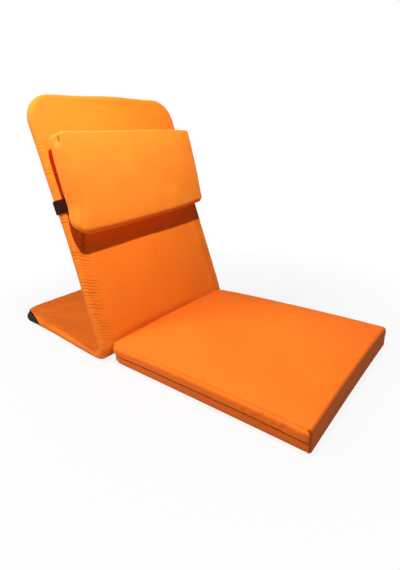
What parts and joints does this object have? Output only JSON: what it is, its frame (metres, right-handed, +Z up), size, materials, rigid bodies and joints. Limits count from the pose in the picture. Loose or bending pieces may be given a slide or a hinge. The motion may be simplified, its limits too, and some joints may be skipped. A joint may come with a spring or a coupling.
{
  "type": "folding floor chair",
  "caption": "Legless folding floor chair: padded back and flat base hinged in a V, box seat cushion and strapped lumbar cushion, all in woven cloth.",
  "frame": {"origin": "centre of the footprint on the floor, with the back at rest in its most upright position", "axes": "+Z up, the sitter faces -Y, so the base runs out towards +Y; +X is the sitter's left"},
  "size_m": [0.4812, 1.0154, 0.6384],
  "materials": {
    "orange_cloth": "plain woven, matte",
    "foam": "open-cell foam",
    "black_tube": "satin powder coat",
    "black_elastic": "ribbed elastic webbing",
    "orange_tape": "woven tape",
    "zinc_steel": "zinc plated"
  },
  "bodies": {
    "base": {"base_cover": "orange_cloth", "base_tube": "black_tube", "base_cross_bar": "black_tube", "sleeve_fold": "orange_cloth", "left_base_hinge_plate": "zinc_steel", "right_base_hinge_plate": "zinc_steel", "left_base_plate_rivet": "zinc_steel", "right_base_plate_rivet": "zinc_steel", "left_ratchet_wheel": "zinc_steel", "right_ratchet_wheel": "zinc_steel", "left_pivot_bolt": "zinc_steel", "right_pivot_bolt": "zinc_steel", "left_pivot_nut": "zinc_steel", "right_pivot_nut": "zinc_steel"},
    "back": {"back_cover": "orange_cloth", "back_foam": "foam", "back_tube": "black_tube", "back_cross_bar": "black_tube", "left_back_hinge_plate": "zinc_steel", "right_back_hinge_plate": "zinc_steel", "left_back_plate_rivet": "zinc_steel", "right_back_plate_rivet": "zinc_steel", "left_pawl_pin": "zinc_steel", "right_pawl_pin": "zinc_steel"},
    "seat": {"seat_top_cover": "orange_cloth", "seat_lower_cover": "orange_cloth", "seat_foam": "foam", "seat_hinge_tape": "orange_tape"},
    "lumbar": {"lumbar_cover": "orange_cloth", "lumbar_foam": "foam", "lumbar_strap": "black_elastic"},
    "left_pawl": {"left_pawl": "zinc_steel"},
    "right_pawl": {"right_pawl": "zinc_steel"}
  },
  "joints": [
    {"name": "back_fold", "type": "hinge", "parent": "base", "child": "back", "pos_m": [0, 0.04977, 0.015], "axis": [-1, 0, 0], "range_deg": [0, 73.7], "deforming": ["sleeve_fold"]},
    {"name": "seat_fold", "type": "hinge", "parent": "back", "child": "seat", "pos_m": [0, 0.01223, 0.05], "axis": [-1, 0, 0], "range_deg": [0, 88], "deforming": ["seat_hinge_tape"]},
    {"name": "lumbar_slide", "type": "slide", "parent": "back", "child": "lumbar", "axis": [0, 0.2807, 0.9598], "range_m": [-0.1, 0.1]},
    {"name": "left_pawl_drop", "type": "hinge", "parent": "back", "child": "left_pawl", "pos_m": [0.221, 0.04196, 0.03104], "axis": [1, 0, 0], "range_deg": [0, 9.6]},
    {"name": "right_pawl_drop", "type": "hinge", "parent": "back", "child": "right_pawl", "pos_m": [-0.221, 0.04196, 0.03104], "axis": [1, 0, 0], "range_deg": [0, 9.6]}
  ]
}
